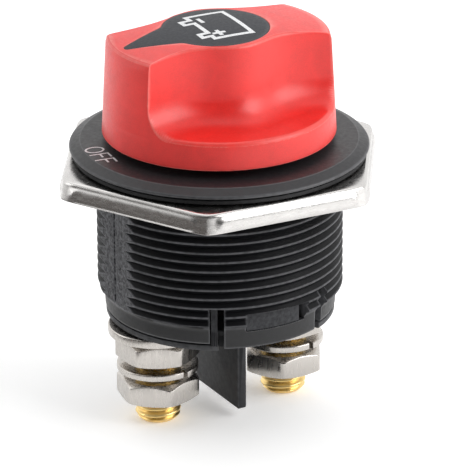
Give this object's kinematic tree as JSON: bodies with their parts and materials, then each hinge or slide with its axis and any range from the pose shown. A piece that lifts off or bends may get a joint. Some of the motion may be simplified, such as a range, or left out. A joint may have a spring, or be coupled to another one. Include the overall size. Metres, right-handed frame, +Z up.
{
  "type": "battery switch",
  "caption": "Panel-mount rotary battery isolator with a finger-grip knob, threaded barrel, hexagonal panel nut and stud terminals that a cam-driven bridge connects.",
  "frame": {"origin": "on the knob's axis at the panel's front face, which is the underside of the flange gasket", "axes": "+Z up the knob's axis, out of the panel; X through the two terminal studs, with the knob's off mark towards -X; Y along the divider fin"},
  "size_m": [0.06, 0.054, 0.0706],
  "materials": {
    "knob_plastic": "fine moulded grain, satin red",
    "badge_plastic": "fine grain, slate black",
    "housing_plastic": "fine grain black nylon",
    "cover_plastic": "fine grain dark grey nylon",
    "carrier_plastic": "plain dark grey nylon",
    "cam_plastic": "smooth off-white acetal",
    "rubber": "matt black",
    "steel": "nickel-plated, satin",
    "bright_steel": "bright pressed stainless sheet",
    "spring_steel": "drawn spring wire",
    "brass": "turned and threaded brass",
    "copper": "stamped copper strip",
    "silver": "silver alloy contact",
    "label_print": "white pad print"
  },
  "bodies": {
    "housing_body": {"housing": "housing_plastic", "flange_gasket": "rubber", "thrust_washer": "cam_plastic", "base_cover": "cover_plastic", "return_spring_front": "spring_steel", "return_spring_back": "spring_steel", "terminal_stud_left": "brass", "terminal_stud_right": "brass", "fixed_contact_left": "silver", "fixed_contact_right": "silver", "stud_seal_left": "rubber", "stud_seal_right": "rubber", "terminal_washer_left": "steel", "terminal_washer_right": "steel", "terminal_nut_left": "steel", "terminal_nut_right": "steel", "spring_washer_left": "steel", "spring_washer_right": "steel", "cable_nut_left": "steel", "cable_nut_right": "steel"},
    "knob_body": {"knob": "knob_plastic", "knob_badge": "badge_plastic", "knob_screw": "steel", "spindle": "steel", "spindle_o_ring": "rubber", "retaining_clip": "spring_steel", "cam_rotor": "cam_plastic"},
    "carrier_body": {"contact_carrier": "carrier_plastic", "contact_bridge": "copper", "moving_contact_left": "silver", "moving_contact_right": "silver", "bridge_retainer": "spring_steel", "contact_spring": "spring_steel"},
    "panel_nut_body": {"panel_nut": "bright_steel"}
  },
  "joints": [
    {"name": "knob_turn", "type": "hinge", "parent": "housing_body", "child": "knob_body", "pos_m": [0, 0, 0], "axis": [0, 0, 1], "range_deg": [-90, 0]},
    {"name": "contact_travel", "type": "slide", "parent": "housing_body", "child": "carrier_body", "axis": [0, 0, -1], "range_m": [0, 0.003], "deforming": ["return_spring_front", "return_spring_back"]},
    {"name": "panel_nut_travel", "type": "slide", "parent": "housing_body", "child": "panel_nut_body", "axis": [0, 0, -1], "range_m": [0, 0.017]}
  ],
  "couplings": [
    {"joint": "contact_travel", "follows": "knob_turn", "m_per_rad": -0.0019099}
  ]
}
